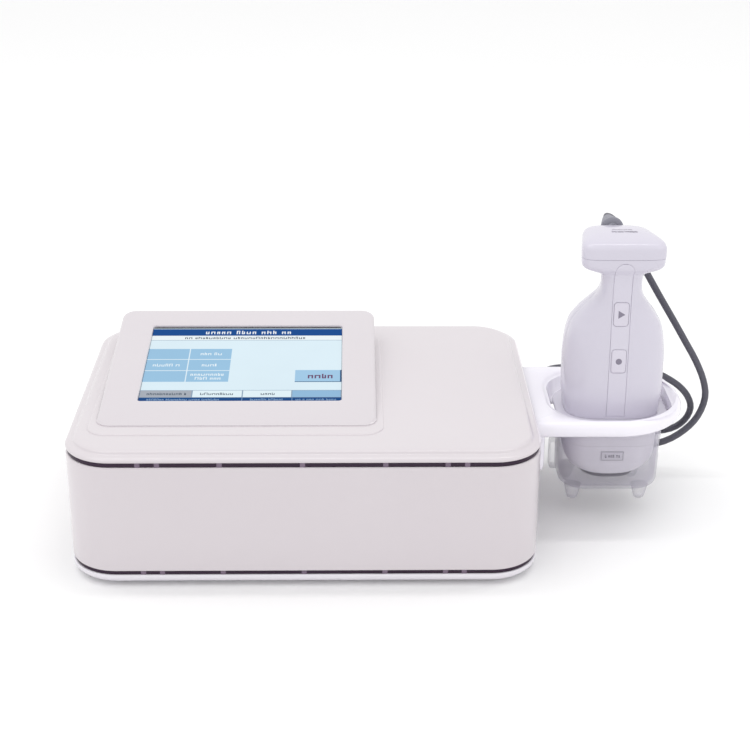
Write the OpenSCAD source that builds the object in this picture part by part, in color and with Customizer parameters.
// Desktop focused-ultrasound therapy console with a handpiece parked in a side holder.
// Frame: +X to the console's right, +Y to its back, +Z up. The origin is on the table, under the
// middle of the console, holder and handpiece together.

/* [Console] */
// Width of the console
console_w = 375; // [360:5:390]
// Depth of the console, front to back
console_d = 276; // [270:2:282]
// Radius of the console's corners seen from above
corner_r = 39; // [34:1:44]
// Thickness of the moulded walls
wall = 3; // [2.5:0.5:3.5]
// Height of the rubber feet
foot_h = 4; // [3:0.5:5]

/* [Screen] */
// Width of the visible display
screen_w = 162; // [155:1:168]
// Height of the visible display
screen_h = 122; // [116:1:126]
// Tilt of the screen towards the user, in degrees
screen_tilt = 7.4; // [6.5:0.1:8]

/* [Handpiece] */
// Wall thickness of the handpiece shells
shell_t = 2.2; // [1.8:0.1:2.4]
// Travel of the transducer each way from the middle
scan_travel = 12.5; // [10:0.5:12.5]

/* [Cable] */
// Diameter of the handpiece cable
cord_d = 6; // [5:0.2:6]

/* [Hidden] */
$fn = 48;

// Where the console's centre and the handpiece's axis stand in the frame
console_x = -65.5;
console_y = -3.5;
hand_x = 192.5;
hand_y = -1.5;

// Heights of the console's layers
tray_top = 11;
lower_trim_top = 14.5;
band_top = 105.5;
upper_trim_top = 109.5;
cover_top = 117;
pad_top = 118;
trim_inset = 1.2;

// Inside of the console
floor_z = foot_h + wall;
plate_z = 12;
plate_t = 1.5;
back_y = console_d / 2;

// Screen plane: its middle, in the console's own coordinates
screen_mid = [-53.5, 11.1, 130.5];
bezel_x = [-166, 58];
bezel_y = [-89, 102];
bezel_rise = 1.5;
bezel_corner = 12;

// Rear panel and what it carries, in the console's own coordinates
panel_w = 260;
panel_z = [26, 92];
panel_mid_z = (panel_z[0] + panel_z[1]) / 2;
inlet_x = -100;
inlet_mid_z = 61;
drawer_z = 42;
switch_x = -60;
switch_z = 56;
fan_x = 8;
fan_r = 28;
socket_x = 95;
socket_z = 60;

// Holder: arm, ring and root plate
ring_x = [122, 253];
ring_y = [-61, 62.5];
ring_z = [91, 104.5];
ring_r = 60;
ring_round = 3;
mouth_x = [140.5, 242.5];
mouth_y = [-49.5, 50.5];
mouth_r = 36;
lip_x = [146.8, 238.2];
lip_y = [-38, 35];
lip_r = 27;
lip_z = 92.7;
notch_x = [140.5, 150];
notch_y = [-11, 8];
root_y = [-48, 46];
root_z = [52, 104.5];
root_x1 = 133;

// Handpiece body and head, bottom to top:
// [height, half width at the front, half width at the back, front, back, squareness, skew of the back]
body_rings = [
    [92, 39.7, 39.7, -31, 31, 3.2, 0],
    [105, 41, 41, -31, 32, 3.1, 0],
    [120, 42, 42, -31, 33, 3, 0],
    [140, 42.3, 42.3, -30, 34.5, 2.9, 0],
    [158, 41, 41, -29, 35, 2.8, 0],
    [170, 38.7, 38.2, -28, 34, 2.7, 0],
    [180, 34.3, 31.6, -27, 31.5, 2.6, 0.5],
    [190, 28.2, 22.2, -26.5, 27, 2.6, 1.5],
    [198, 22.6, 16, -26, 22.5, 2.6, 2.5],
    [206, 19.8, 13.4, -26, 19, 2.7, 2.5],
    [212, 19.4, 12.8, -26, 18, 2.8, 2.5],
    [217.5, 19.8, 13, -26.4, 18, 3, 2],
    [221.5, 22.4, 14.6, -27.2, 18.3, 3.3, 1],
    [224.2, 29.2, 19, -29, 19, 4, -1],
    [227, 34.7, 23.4, -31, 19.9, 4.6, -2.3],
    [230, 36.3, 25, -31.9, 20.4, 5, -3],
    [235.9, 36.5, 25.4, -32, 20.5, 5.3, -3]
];
head_rings = [
    [236.2, 36.4, 25.6, -32, 20.5, 5.5, -3],
    [240, 36.6, 26, -32, 20.7, 5.5, -3],
    [244.5, 36.4, 25.8, -31.7, 20.5, 5.4, -3],
    [247.3, 35.2, 25, -30.3, 19.8, 5.1, -3],
    [249.3, 32.8, 23, -27.4, 18, 4.7, -3],
    [250.8, 28.5, 19.4, -21, 14, 4, -2.5],
    [252, 17, 11, -10, 6, 3, -1]
];
cartridge_rings = [
    [40.5, 25.4, 25.4, -23.4, 23.4, 2.4, 0],
    [42.5, 28.4, 28.4, -25.6, 25.6, 2.6, 0],
    [46, 32.5, 32.5, -27.6, 27.6, 2.8, 0],
    [50, 35.8, 35.8, -29.2, 29.2, 3, 0],
    [56, 38.3, 38.3, -30.4, 30.4, 3.1, 0],
    [64, 39.2, 39.2, -30.6, 30.6, 3.2, 0],
    [91.5, 39.6, 39.6, -30.8, 30.8, 3.2, 0]
];
ring_points = 32;
slice_t = 0.05;

// Keys on the front panel
panel_half = 7.6;
panel_bottom = 98;
panel_top = 225.2;
key_w = 12;
key_h = 20;
key_proud = 0.6;
key_back = -21;
start_z = 187.6;
work_z = 147.3;

// Drive inside the handpiece
drive_z = 112;
screw_r = 2;
rod_r = 1.5;
fit_gap = 0.05;
rod_y = 8;
carriage_w = 8;
fork_y = 4;

// Clear cap
cap_top = 88;
cap_floor = 29;
cap_wall = 1.8;
cap_foot_z = 16.5;

// Cable boot on the back of the head
boot_x = -4;
boot_z = 245.6;
boot_tip = 45.5;

// Cable: from the handpiece's boot, round the back of the ring twice, to the coil on the table
cord_route = [
    [188.5, 44.6, 245.6], [189.4, 54, 245.3], [196, 63, 240], [206, 67, 228], [217.5, 65, 210.5],
    [229, 61, 191], [241, 57, 171], [254, 54, 150], [266, 52, 130], [276, 51, 113],
    [284, 50, 95], [287, 50, 78], [282, 50, 60], [271, 50, 46], [254, 50, 35],
    [230, 50, 30], [205, 52, 29], [182, 56, 30], [162, 61, 36], [147, 66, 50],
    [140, 69, 70], [138, 70, 84], [142, 70.5, 92.5], [151, 70, 97.5], [162, 69.5, 99.5],
    [171, 66.5, 103.8], [179, 62.5, 107.3], [188, 59, 108.3], [200, 57, 108], [214, 56.5, 108], [226, 58, 105.6],
    [237, 58, 101.5], [251, 57.5, 95], [264, 57, 86.5], [273, 58, 76], [277, 59, 64],
    [273, 61, 51], [262, 64, 41], [243, 68, 36], [218, 70, 35], [190, 71, 34], [164, 71, 33],
    [146, 74, 31], [133, 84, 26], [128, 100, 18],
    [126, 118, 9], [118, 135, 4], [100, 147, 3.2], [76, 152, 3.2], [48, 153, 3.2],
    [20, 152, 3.2], [-4, 152, 3.4], [-22, 152, 3.7]
];
// Cable: from the coil to the plug on the rear panel
plug_route = [
    [-22, 224, 9.7], [-6, 224, 7], [8, 225, 5], [19, 227, 8], [26, 228, 17],
    [29.5, 227, 29], [29.5, 223, 42], [29.5, 215, 52], [29.5, 207, 58.5], [29.5, 197, 60]
];
cord_sides = 8;
coil_x = -45;
coil_y = 188;
coil_r = 33;
coil_z = 0.7;
coil_half = cord_d;
coil_h = 2 * cord_d;
tie_t = 0.5;
tie_w = 12;

// ---- Shared shapes ----

module in_console() translate([console_x, console_y, 0]) children();

module in_handpiece() translate([hand_x, hand_y, 0]) children();

// Rounded rectangle, centred
module plan(w, d, r) {
    square([w - 2 * r, d], center = true);
    square([w, d - 2 * r], center = true);
    for (x = [-1, 1], y = [-1, 1])
        translate([x * (w / 2 - r), y * (d / 2 - r)]) circle(r);
}

module slab(w, d, r, z0, z1) translate([0, 0, z0]) linear_extrude(z1 - z0) plan(w, d, r);

module console_slab(inset, z0, z1)
    slab(console_w - 2 * inset, console_d - 2 * inset, corner_r - inset, z0, z1);

// Rounded block between two corners
module block(x, y, z, r)
    translate([(x[0] + x[1]) / 2, (y[0] + y[1]) / 2, 0])
        slab(x[1] - x[0], y[1] - y[0], r, z[0], z[1]);

// Round bar along Y, from y0 to y1
module bar_y(r, y0, y1) translate([0, y0, 0]) rotate([-90, 0, 0]) cylinder(r = r, h = y1 - y0);

// Tapered round bar along Y
module cone_y(r0, r1, y0, y1)
    translate([0, y0, 0]) rotate([-90, 0, 0]) cylinder(r1 = r0, r2 = r1, h = y1 - y0);

// Round bar along X, from x0 to x1
module bar_x(r, x0, x1) translate([x0, 0, 0]) rotate([0, 90, 0]) cylinder(r = r, h = x1 - x0);

// Flat plate standing in the XZ plane, from y0 to y1
module wall_plate(w, h, r, y0, y1)
    translate([0, y1, 0]) rotate([90, 0, 0]) linear_extrude(y1 - y0) plan(w, h, r);

// Pan-head screw along +Y: its head outside, its shank inside
module screw_y(head_r, head_t, shank_r, length) {
    bar_y(head_r, 0, head_t);
    bar_y(shank_r, -length, 0);
}

function power_of(v, n) = sign(v) * pow(abs(v), 2 / n);

function outline(s, t) = [
    for (i = [0:ring_points - 1])
        let (
            a = i * 360 / ring_points,
            u = power_of(cos(a), s[5]),
            v = power_of(sin(a), s[5]),
            half_w = (s[1] + s[2]) / 2 + v * (s[2] - s[1]) / 2 - t,
            half_d = (s[4] - s[3]) / 2 - t
        )
        [u * half_w + s[6] * (v + 1) / 2, (s[3] + s[4]) / 2 + v * half_d]
];

module slice(s, t) translate([0, 0, s[0]]) linear_extrude(slice_t) polygon(outline(s, t));

// Smooth body through a list of rings, t smaller all round
module loft(rings, t)
    for (i = [0:len(rings) - 2])
        hull() {
            slice(rings[i], t);
            slice(rings[i + 1], t);
        }

function moved(s, dz) = concat([s[0] + dz], [for (i = [1:6]) s[i]]);

function open_ended(rings) = concat([moved(rings[0], -1)], rings, [moved(rings[len(rings) - 1], 1)]);

function lowered(rings, dz) = [for (s = rings) moved(s, -dz)];

// ---- Console casing ----

vent_pitch = 9;
vent_count = 9;
vent_x = 110;

// Air slots under the power stage
module vents(z0, z1)
    for (i = [0:vent_count - 1])
        block([vent_x - 25, vent_x + 25], [i * vent_pitch - 40, i * vent_pitch - 36], [z0, z1], 1.9);

module base_tray() color("whitesmoke") in_console() difference() {
    union() {
        console_slab(3, foot_h, foot_h + 2);
        console_slab(0, foot_h + 2, tray_top);
        for (x = [-130, 0, 130], y = [-95, 95])
            translate([x, y, floor_z - 1]) cylinder(r = 5, h = plate_z - floor_z + 1);
    }
    difference() {
        console_slab(wall, floor_z, tray_top + 1);
        for (x = [-130, 0, 130], y = [-95, 95])
            translate([x, y, floor_z - 1]) cylinder(r = 5, h = plate_z);
    }
    vents(0, floor_z + 1);
}

foot_x = 150;
foot_y = 100;

module rubber_feet() color("dimgray") in_console()
    for (x = [-foot_x, foot_x], y = [-foot_y, foot_y])
        translate([x, y, 0]) {
            cylinder(r1 = 8, r2 = 9, h = 1);
            translate([0, 0, 1]) cylinder(r = 9, h = foot_h - 1);
        }

module trim_strip(z0, z1) difference() {
    console_slab(trim_inset, z0, z1);
    console_slab(trim_inset + 4, z0 - 1, z1 + 1);
}

// The pegs show as pale spots in both strips, so each strip has a notch for each peg
peg_x = [-127, -112, -64, 0, 64, 112, 127];
peg_w = 4;

module peg_row(z0, z1, grow)
    for (x = peg_x)
        translate([x - peg_w / 2 - grow, -console_d / 2 + trim_inset - grow, z0])
            cube([peg_w + 2 * grow, 2 + 2 * grow, z1 - z0]);

module lower_trim() color("indigo") in_console() difference() {
    trim_strip(tray_top, lower_trim_top);
    peg_row(tray_top - 1, lower_trim_top + 1, 0);
}

module upper_trim() color("indigo") in_console() difference() {
    trim_strip(band_top, upper_trim_top);
    peg_row(band_top - 1, upper_trim_top + 1, 0);
}

module seam_pegs() color("plum") in_console() {
    peg_row(tray_top, lower_trim_top, 0);
    peg_row(band_top, upper_trim_top, 0);
}

module side_band() color("whitesmoke") in_console() difference() {
    console_slab(0, lower_trim_top, band_top);
    console_slab(wall, lower_trim_top - 1, band_top + 1);
    translate([0, back_y - wall - 1, panel_mid_z])
        wall_plate(panel_w + 0.6, panel_z[1] - panel_z[0] + 0.6, 6, 0, wall + 2);
    for (y = [-25, 25])
        translate([console_w / 2 - wall - 1, y, 75]) bar_x(2.2, 0, wall + 2);
}

module top_cover() color("white") in_console() difference() {
    union() {
        console_slab(0, upper_trim_top, upper_trim_top + 2.5);
        console_slab(2.5, upper_trim_top + 2.5, upper_trim_top + 4.5);
        console_slab(6, upper_trim_top + 4.5, cover_top - 1);
        console_slab(9.5, cover_top - 1, cover_top);
        block([-172, 63.5], [-104, 107], [cover_top - 1, pad_top], 16);
    }
    console_slab(wall, upper_trim_top - 1, upper_trim_top + 1.5);
    console_slab(9, upper_trim_top, cover_top - wall);
    block([-146, 39], [-62, 85], [upper_trim_top, pad_top + 1], 6);
}

// ---- Screen ----

module on_screen() in_console() translate(screen_mid) rotate([screen_tilt, 0, 0]) children();

module screen_bezel() color("white") difference() {
    intersection() {
        in_console() block(bezel_x, bezel_y, [pad_top, 160], bezel_corner);
        on_screen() translate([-150, -150, -40]) cube([300, 300, 40 + bezel_rise]);
    }
    on_screen() slab(screen_w + 4, screen_h + 4, 3, -20, bezel_rise + 1);
    on_screen() slab(screen_w + 15, screen_h + 15, 3, -20, -1);
    intersection() {
        in_console() block(bezel_x + [3, -3], bezel_y + [30, -3], [pad_top - 1, 160], 9);
        on_screen() translate([-150, -150, -60]) cube([300, 300, 57]);
    }
}

module touch_glass() color("lightblue") on_screen() slab(screen_w + 14, screen_h + 14, 3, -2.8, -1);

module screen_panel() color("darkgray") on_screen() slab(screen_w + 12, screen_h + 10, 2, -9, -2.9);

module screen_board() color("darkgreen") on_screen() slab(110, 80, 2, -11, -9.2);

// ---- Inside the console ----

module chassis_plate() color("silver") in_console() difference() {
    slab(310, 230, 6, plate_z, plate_z + plate_t);
    for (x = [-130, 0, 130], y = [-95, 95])
        translate([x, y, plate_z - 1]) cylinder(r = 2.2, h = plate_t + 2);
    vents(plate_z - 1, plate_z + 3);
}

panel_screw_x = 124;
panel_screw_in = 4.6;

module case_screws() color("gray") in_console() {
    for (x = [-130, 0, 130], y = [-95, 95])
        translate([x, y, plate_z + plate_t]) cylinder(r = 3.4, h = 2);
    for (x = [-panel_screw_x, panel_screw_x], z = panel_z + [panel_screw_in, -panel_screw_in])
        translate([x, back_y, z]) screw_y(3, 1.6, 1.4, 2.9);
    for (x = [-25, 25], z = [-25, 25])
        translate([fan_x + x, back_y, panel_mid_z + z]) screw_y(2.8, 1.6, 1.4, 2.9);
}

module power_supply() color("lightgray") in_console()
    difference() {
        block([-150, -20], [14, 89], [plate_z + plate_t, 55], 2);
        for (i = [0:8]) block([-140 + i * 13, -134 + i * 13], [24, 79], [53.5, 56], 1.9);
    }

board_z = [22, 23.6];

module board_post(x, y)
    translate([x, y, plate_z + plate_t]) cylinder(r = 3, h = board_z[0] - plate_z - plate_t);

module main_board() color("green") in_console() {
    block([-150, 20], [-105, 5], board_z, 3);
    for (x = [-140, 10], y = [-95, -5]) board_post(x, y);
    block([-110, -80], [-80, -50], [23.6, 27], 1);
    block([-50, -30], [-90, -70], [23.6, 26], 1);
}

module driver_board() color("seagreen") in_console() {
    block([45, 150], [-100, 20], board_z, 3);
    for (x = [52, 142], y = [-92, 12]) board_post(x, y);
    for (x = [65, 95, 125]) translate([x, -75, 23.6]) cylinder(r = 10, h = 9);
}

module heat_sink() color("gainsboro") in_console() {
    block([60, 140], [-50, 10], [23.6, 28], 1);
    for (i = [0:9]) block([61 + i * 8.3, 63.4 + i * 8.3], [-50, 10], [28, 52], 0.5);
}

fan_half = 30;
fan_back = back_y - wall - 0.2;
fan_depth = 15;

module at_fan() in_console() translate([fan_x, 0, panel_mid_z]) children();

module fan_frame() color("dimgray") at_fan() difference() {
    union() {
        difference() {
            wall_plate(2 * fan_half, 2 * fan_half, 4, fan_back - fan_depth, fan_back);
            bar_y(fan_r, fan_back - fan_depth - 1, fan_back + 1);
        }
        for (a = [0, 120, 240]) rotate([0, a, 0])
            translate([-2, fan_back - fan_depth, 0]) cube([4, 2.5, fan_r + 1]);
        bar_y(11, fan_back - fan_depth, fan_back - fan_depth + 2.5);
    }
    bar_y(screw_r + fit_gap, fan_back - fan_depth - 1, fan_back);
}

blade_count = 7;

module fan_rotor() color("black") at_fan() {
    bar_y(11, fan_back - 11.5, fan_back - 1.5);
    bar_y(screw_r, fan_back - fan_depth, fan_back - 11.5);
    intersection() {
        bar_y(26.5, fan_back - 11.5, fan_back - 1.5);
        for (i = [0:blade_count - 1])
            rotate([0, i * 360 / blade_count, 0])
                translate([0, fan_back - 6.5, 18.5]) rotate([0, 0, 40])
                    cube([1.5, 12, 17], center = true);
    }
}

module fan_guard() color("silver") at_fan() {
    for (r = [10, 18, 26])
        translate([0, back_y + 1.2, 0]) rotate([-90, 0, 0]) rotate_extrude() translate([r, 0]) circle(0.9);
    for (a = [45, 135, 225, 315])
        rotate([0, a, 0]) translate([-0.9, back_y + 0.3, 9.5]) cube([1.8, 1.8, 21]);
}

// ---- Rear panel and its fittings ----

module rear_panel() color("gainsboro") in_console() difference() {
    translate([0, 0, panel_mid_z]) wall_plate(panel_w, panel_z[1] - panel_z[0], 6, back_y - wall, back_y);
    translate([fan_x, 0, panel_mid_z]) bar_y(fan_r - 1, back_y - wall - 1, back_y + 1);
    translate([inlet_x, 0, 55]) wall_plate(46.2, 36.2, 2, back_y - wall - 1, back_y + 1);
    translate([switch_x, 0, switch_z]) wall_plate(18.2, 26.2, 1, back_y - wall - 1, back_y + 1);
    translate([socket_x, 0, socket_z]) bar_y(10.1, back_y - wall - 1, back_y + 1);
    for (x = [-panel_screw_x, panel_screw_x], z = panel_z + [panel_screw_in, -panel_screw_in])
        translate([x, 0, z]) bar_y(1.6, back_y - wall - 1, back_y + 1);
    for (x = [-25, 25], z = [-25, 25])
        translate([fan_x + x, 0, panel_mid_z + z]) bar_y(1.6, back_y - wall - 1, back_y + 1);
}

inlet_depth = 16;
flange_t = 3;

module power_inlet() color("black") in_console() translate([inlet_x, 0, 0]) difference() {
    union() {
        translate([0, 0, 55]) wall_plate(52, 42, 3, back_y, back_y + flange_t);
        translate([0, 0, 55]) wall_plate(46, 36, 2, back_y - 24, back_y);
    }
    translate([0, 0, inlet_mid_z])
        wall_plate(24.5, 16.5, 3, back_y + flange_t - inlet_depth, back_y + flange_t + 1);
    translate([0, 0, drawer_z]) wall_plate(26.8, 7.8, 1, back_y - 22, back_y + flange_t + 1);
}

module inlet_pins() color("gold") in_console()
    for (p = [[-7, 0], [0, 3.5], [7, 0]])
        translate([inlet_x + p[0] - 1, back_y + flange_t - inlet_depth, inlet_mid_z + p[1] - 2])
            cube([2, 9, 4]);

module fuse_drawer() color("dimgray") in_console() translate([inlet_x, 0, drawer_z]) {
    wall_plate(26, 7, 0.9, back_y - 21, back_y + flange_t + 0.8);
}

switch_tilt = 9;
rocker_axis_y = back_y - 1;

module switch_frame() color("black") in_console() translate([switch_x, 0, switch_z]) difference() {
    union() {
        wall_plate(22, 30, 2, back_y, back_y + 2);
        wall_plate(18, 26, 1, back_y - 18, back_y);
    }
    wall_plate(13.4, 21.8, 0.5, back_y - 10, back_y + 3);
    translate([0, rocker_axis_y, 0]) bar_x(rod_r + fit_gap, -8, 8);
}

module power_rocker() color("firebrick") in_console()
    translate([switch_x, rocker_axis_y, switch_z]) rotate([switch_tilt, 0, 0]) {
        rotate([90, 0, 90]) linear_extrude(12.4, center = true)
            polygon([[-6, -7], [-6, 7], [3.4, 9.8], [2, 0], [3.4, -9.8]]);
        bar_x(rod_r, -7.9, 7.9);
    }

module handpiece_socket() color("silver") in_console() translate([socket_x, 0, socket_z]) difference() {
    union() {
        bar_y(15, back_y, back_y + 3);
        bar_y(11, back_y + 3, back_y + 7);
        bar_y(10, back_y - 20, back_y);
    }
    bar_y(8.4, back_y - 10, back_y + 8);
}

module socket_contacts() color("gold") in_console() translate([socket_x, 0, socket_z]) {
    bar_y(8.3, back_y - 10, back_y - 6);
    for (a = [0:45:315])
        rotate([0, a, 0]) translate([0, 0, 5]) bar_y(0.7, back_y - 6, back_y - 4.2);
}

// ---- Holder ----

module ring_outline(inset, z0, z1)
    difference() {
        block([ring_x[0] - 80, ring_x[1] - inset], ring_y + [inset, -inset], [z0, z1], ring_r - inset);
        translate([ring_x[0] - 100, -100, z0 - 1]) cube([100, 200, z1 - z0 + 2]);
    }

module holder() color("white") difference() {
    union() {
        ring_outline(0, ring_z[0] + ring_round, ring_z[1] - ring_round);
        ring_outline(ring_round, ring_z[0], ring_z[1]);
        translate([ring_x[0], 0, (root_z[0] + root_z[1]) / 2 - 3]) rotate([90, 0, 90])
            linear_extrude(root_x1 - ring_x[0])
                translate([(root_y[0] + root_y[1]) / 2, 0])
                    plan(root_y[1] - root_y[0], root_z[1] - root_z[0] - 6, 8);
    }
    block(lip_x, lip_y, [ring_z[0] - 1, ring_z[1] + 1], lip_r);
    block(notch_x, notch_y, [ring_z[0] - 1, ring_z[1] + 1], 2);
    hull() {
        block(lip_x + [-2.5, 2.5], lip_y + [-5, 5], [lip_z, lip_z + 0.1], lip_r + 2);
        block(mouth_x, mouth_y, [ring_z[1], ring_z[1] + 0.1], mouth_r);
    }
    for (y = [-25, 25])
        translate([0, console_y + y, 75]) bar_x(1.6, ring_x[0] - 1, ring_x[0] + 8);
}

module holder_screws() color("gray")
    for (y = [-25, 25])
        translate([0, console_y + y, 75]) {
            bar_x(1.5, ring_x[0] - wall, ring_x[0] + 7.5);
            bar_x(3.2, ring_x[0] - wall - 2.4, ring_x[0] - wall - 0.4);
        }

// ---- Handpiece ----

module body_wall() difference() {
    loft(body_rings, 0);
    loft(open_ended(body_rings), shell_t);
}

// Arched strip down the front of the body, g wider all round
module front_strip(g) translate([0, -15, 0]) rotate([90, 0, 0]) linear_extrude(30) {
    translate([-panel_half - g, panel_bottom - g])
        square([2 * (panel_half + g), panel_top - panel_bottom + g]);
    translate([0, panel_top]) circle(panel_half + g);
}

// Collar round the foot of the shells, which rests on the holder's lip
flange_w = 94.8;
flange_d = 78.4;
flange_r = 29;
flange_z = [93.2, 95.4];

collar_gap = 0.45;

module rest_collar() color("lavender") in_handpiece() difference() {
    slab(flange_w, flange_d, flange_r, flange_z[0], flange_z[1]);
    translate([0, 0, flange_z[0] - 1]) linear_extrude(5) polygon(outline(body_rings[0], -collar_gap));
}

module front_shell() color("lavender") in_handpiece() difference() {
    intersection() {
        body_wall();
        translate([-60, -60, 90]) cube([120, 60, 140]);
    }
    front_strip(0.15);
}

module rear_shell() color("lavender") in_handpiece() intersection() {
    body_wall();
    translate([-60, 0, 90]) cube([120, 60, 140]);
}

module head_cap() color("lavender") in_handpiece() difference() {
    loft(head_rings, 0);
    loft(lowered(head_rings, shell_t), shell_t);
    translate([boot_x, 0, boot_z]) bar_y(5.2, 10, 30);
}

module key_panel() color("white") in_handpiece() difference() {
    intersection() {
        body_wall();
        front_strip(0);
    }
    for (z = [start_z, work_z])
        translate([0, 0, z]) wall_plate(key_w + 0.8, key_h + 0.8, 2.6, -40, -10);
}

// Front face of the body at each key
start_face = -26.6;
work_face = -29.7;

module key_cap(z, face) translate([0, 0, z]) {
    wall_plate(key_w, key_h, 2.5, face - key_proud, key_back - 1);
    wall_plate(6, 10, 1, key_back - 1, key_back);
}

module start_key() color("ghostwhite") in_handpiece() key_cap(start_z, start_face);

module work_key() color("ghostwhite") in_handpiece() key_cap(work_z, work_face);

module key_board() color("green") in_handpiece()
    translate([0, 0, (start_z + work_z) / 2]) wall_plate(15, 70, 1.5, key_back + 2, key_back + 3.6);

module cable_boot() color("slategray") in_handpiece() translate([boot_x, 0, boot_z]) {
    difference() {
        union() {
            bar_y(5, 17, 20.9);
            bar_y(9.6, 20.9, 24);
            cone_y(9.6, 4.6, 24, boot_tip);
        }
        bar_y(cord_d / 2 - 0.4, 16, boot_tip - 3);
    }
}

module dock_plate() color("gainsboro") in_handpiece() difference() {
    slab(72, 52, 18, 98, 101);
    block([-scan_travel - 4, scan_travel + 4], [-fork_y, fork_y], [97, 102], 1);
    block([-9, 9], [14, 22], [97, 102], 1);
}

module contact_block() color("black") in_handpiece() {
    block([-8.8, 8.8], [14.2, 21.8], [96, 104], 0.9);
    for (i = [-3:3]) translate([i * 2.2, 18, 92.5]) cylinder(r = 0.6, h = 3.5);
}

module scan_motor() color("silver") in_handpiece() translate([0, 0, drive_z]) {
    difference() {
        union() {
            bar_x(10, -36.5, -17.3);
            translate([-19.3, -12, -10]) cube([2, 24, 20]);
        }
        bar_x(screw_r + fit_gap, -20, -17);
        for (y = [-rod_y, rod_y]) translate([0, y, 0]) bar_x(rod_r, -18.8, -17);
    }
}

module lead_screw() color("gray") in_handpiece() translate([0, 0, drive_z]) bar_x(screw_r, -19.5, 29);

module screw_bearing() color("gainsboro") in_handpiece() translate([0, 0, drive_z]) difference() {
    translate([23, -12, -11]) cube([6, 24, 20]);
    bar_x(screw_r + fit_gap, 22, 30);
    for (y = [-rod_y, rod_y]) translate([0, y, 0]) bar_x(rod_r, 22, 25);
}

module guide_rods() color("silver") in_handpiece()
    for (y = [-rod_y, rod_y]) translate([0, y, drive_z]) bar_x(rod_r, -18.8, 25);

fork_tip = 84;

module scan_carriage() color("ivory") in_handpiece() translate([0, 0, drive_z]) difference() {
    union() {
        translate([-carriage_w / 2, -11.5, -5]) cube([carriage_w, 23, 10]);
        translate([-2.5, -2, fork_tip - drive_z]) cube([5, 4, drive_z - fork_tip - 4]);
    }
    bar_x(screw_r + 0.3, -10, 10);
    for (y = [-rod_y, rod_y]) translate([0, y, 0]) bar_x(rod_r + fit_gap, -10, 10);
}

// ---- Cartridge ----

seal_w = 48;
seal_d = 45;
seal_r = 20;
rim_w = 3.5;
seal_gap = 0.12;
cartridge_floor = 5.4;

module cartridge_shell() color("gainsboro") in_handpiece() difference() {
    loft(cartridge_rings, 0);
    loft(concat([moved(cartridge_rings[0], cartridge_floor)],
        [for (i = [3:len(cartridge_rings) - 1]) moved(cartridge_rings[i], 1)]), shell_t);
    slab(seal_w, seal_d, seal_r, 39, 48);
}

module cartridge_lid() color("gainsboro") in_handpiece() difference() {
    slab(70, 50, 18, 87, 89.5);
    block([-scan_travel - 8, scan_travel + 8], [-5.5, 5.5], [86, 91], 1);
}

module cartridge_rods() color("silver") in_handpiece()
    for (y = [-rod_y - 2, rod_y + 2]) translate([0, y, 74]) bar_x(rod_r, -36.4, 36.4);

module transducer() color("khaki") in_handpiece() {
    difference() {
        union() {
            translate([0, 0, 50]) cylinder(r = 12, h = 14);
            translate([-6, -13, 64]) cube([12, 26, 14]);
            for (x = [-6, 2.8]) translate([x, -2.2, 78]) cube([3.2, 4.4, 10.5]);
        }
        translate([0, 0, 50 - 13]) sphere(r = 17);
        for (y = [-rod_y - 2, rod_y + 2]) translate([0, y, 74]) bar_x(rod_r + fit_gap, -10, 10);
    }
}

module seal_ring() color("dimgray") in_handpiece() difference() {
    slab(seal_w - 2 * seal_gap, seal_d - 2 * seal_gap, seal_r - seal_gap, 36.8, 43.5);
    slab(seal_w - 2 * rim_w, seal_d - 2 * rim_w, seal_r - rim_w, 36, 44);
}

module window_film() color("lightcyan") in_handpiece()
    slab(seal_w - 2 * rim_w, seal_d - 2 * rim_w, seal_r - rim_w, 39.6, 40.4);

module depth_plate() color("white") in_handpiece()
    translate([0, 0, 61]) wall_plate(20, 9, 1, -31, -30.65);

// ---- Clear cap ----

module cap_shell(t, z0, z1) hull() {
    slab(85 - 2 * t, 64.6 - 2 * t, 23 - t, z0, z0 + 0.1);
    slab(89 - 2 * t, 67.6 - 2 * t, 26 - t, z1, z1 + 0.1);
}

module protective_cap() color("aliceblue") in_handpiece() {
    difference() {
        union() {
            cap_shell(0, cap_floor, cap_top - 0.1);
            for (x = [-30.5, 27], y = [-20, 20])
                translate([x, y, cap_foot_z]) cylinder(r1 = 4.6, r2 = 7.4, h = cap_floor + 1 - cap_foot_z);
            block([-49.5, -40], [-7, 7], [37, 62], 1.5);
        }
        cap_shell(cap_wall, cap_floor + 2, cap_top);
    }
}

// ---- Cable ----

function bend_at(p, i, t) =
    let (
        a = p[max(i - 1, 0)],
        b = p[i],
        c = p[i + 1],
        d = p[min(i + 2, len(p) - 1)]
    )
    0.5 * (2 * b + (c - a) * t + (2 * a - 5 * b + 4 * c - d) * t * t + (3 * b - a - 3 * c + d) * t * t * t);

function curve_through(p, steps) = concat(
    [for (i = [0:len(p) - 2], k = [0:steps - 1]) bend_at(p, i, k / steps)],
    [p[len(p) - 1]]
);

function unit(v) = v / norm(v);

function heading(p, i) = unit(p[min(i + 1, len(p) - 1)] - p[max(i - 1, 0)]);

// One sideways direction for each ring, carried along so that the tube doesn't twist
function sides(p, i, s) =
    i == len(p) ? [] : let (h = heading(p, i), n = unit(s - (s * h) * h)) concat([n], sides(p, i + 1, n));

function tube_points(p, r, n, s) = [
    for (i = [0:len(p) - 1], k = [0:n - 1])
        let (a = k * 360 / n, u = s[i], v = cross(heading(p, i), u))
        p[i] + r * (cos(a) * u + sin(a) * v)
];

function tube_faces(m, n) = concat(
    [[for (k = [0:n - 1]) k]],
    [for (i = [0:m - 2], k = [0:n - 1])
        let (k1 = (k + 1) % n)
        [i * n + k, (i + 1) * n + k, (i + 1) * n + k1, i * n + k1]],
    [[for (k = [n - 1:-1:0]) (m - 1) * n + k]]
);

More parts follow.
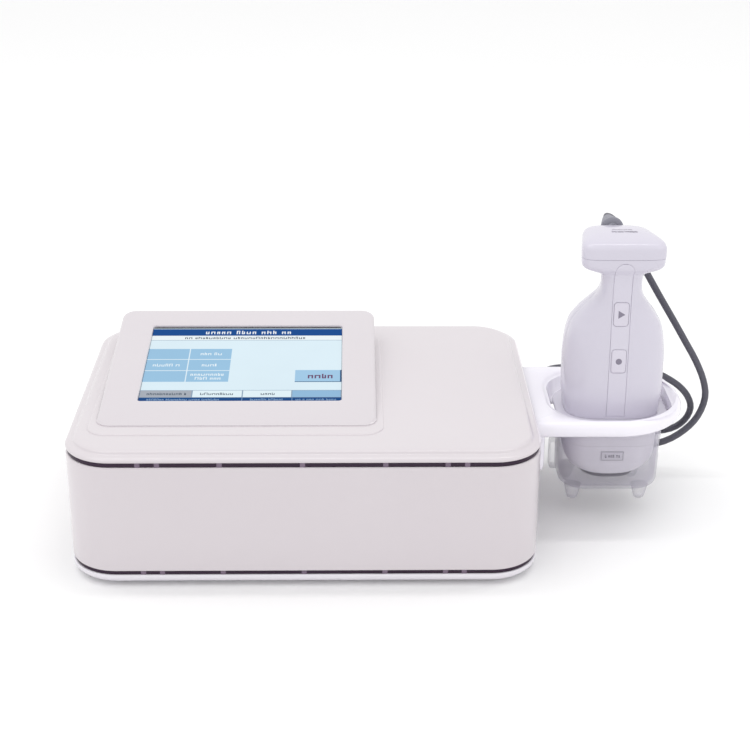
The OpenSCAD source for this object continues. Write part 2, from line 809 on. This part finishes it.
module tube(route, steps, start_side) {
    p = curve_through(route, steps);
    polyhedron(
        tube_points(p, cord_d / 2, cord_sides, sides(p, 0, start_side)),
        tube_faces(len(p), cord_sides),
        convexity = 10
    );
}

module cord() color("gray") tube(cord_route, 1, [1, 0, 0]);

module plug_lead() color("gray") tube(plug_route, 2, [0, 0, 1]);

module cord_coil() color("gray") translate([coil_x, coil_y, coil_z])
    rotate_extrude() translate([coil_r - coil_half, 0]) square([2 * coil_half, coil_h]);

module coil_tie() color("black") translate([coil_x + coil_r, coil_y, coil_z]) difference() {
    translate([-coil_half - tie_t - 0.8, -tie_w / 2, -tie_t])
        cube([2 * coil_half + 2 * tie_t + 1.2, tie_w, coil_h + 2 * tie_t]);
    translate([-coil_half - 0.8, -tie_w, 0]) cube([2 * coil_half + 1.2, 2 * tie_w, coil_h]);
}

module cable_plug() color("dimgray") in_console() translate([socket_x, 0, socket_z]) {
    bar_y(8.1, back_y - 3.8, back_y + 22);
    bar_y(9.5, back_y + 22, back_y + 38);
    cone_y(7.5, 4.2, back_y + 38, back_y + 61.9);
}

ridge_count = 18;

module plug_ring() color("silver") in_console() translate([socket_x, 0, socket_z]) difference() {
    union() {
        bar_y(13, back_y + 3.4, back_y + 20);
        for (i = [0:ridge_count - 1])
            rotate([0, i * 360 / ridge_count, 0])
                translate([0, 0, 12.8]) bar_y(0.9, back_y + 5, back_y + 18);
    }
    bar_y(11.35, back_y + 3, back_y + 7.4);
    bar_y(8.45, back_y + 7, back_y + 21);
}

// ---- One line for each piece ----

base_tray();
rubber_feet();
lower_trim();
upper_trim();
seam_pegs();
side_band();
top_cover();
screen_bezel();
touch_glass();
screen_panel();
screen_board();
chassis_plate();
case_screws();
power_supply();
main_board();
driver_board();
heat_sink();
fan_frame();
fan_rotor();
fan_guard();
rear_panel();
power_inlet();
inlet_pins();
fuse_drawer();
switch_frame();
power_rocker();
handpiece_socket();
socket_contacts();
holder();
holder_screws();
front_shell();
rear_shell();
head_cap();
key_panel();
start_key();
work_key();
key_board();
cable_boot();
dock_plate();
contact_block();
scan_motor();
rest_collar();
lead_screw();
screw_bearing();
guide_rods();
scan_carriage();
cartridge_shell();
cartridge_lid();
cartridge_rods();
transducer();
seal_ring();
window_film();
depth_plate();
protective_cap();
cord();
plug_lead();
cord_coil();
coil_tie();
cable_plug();
plug_ring();
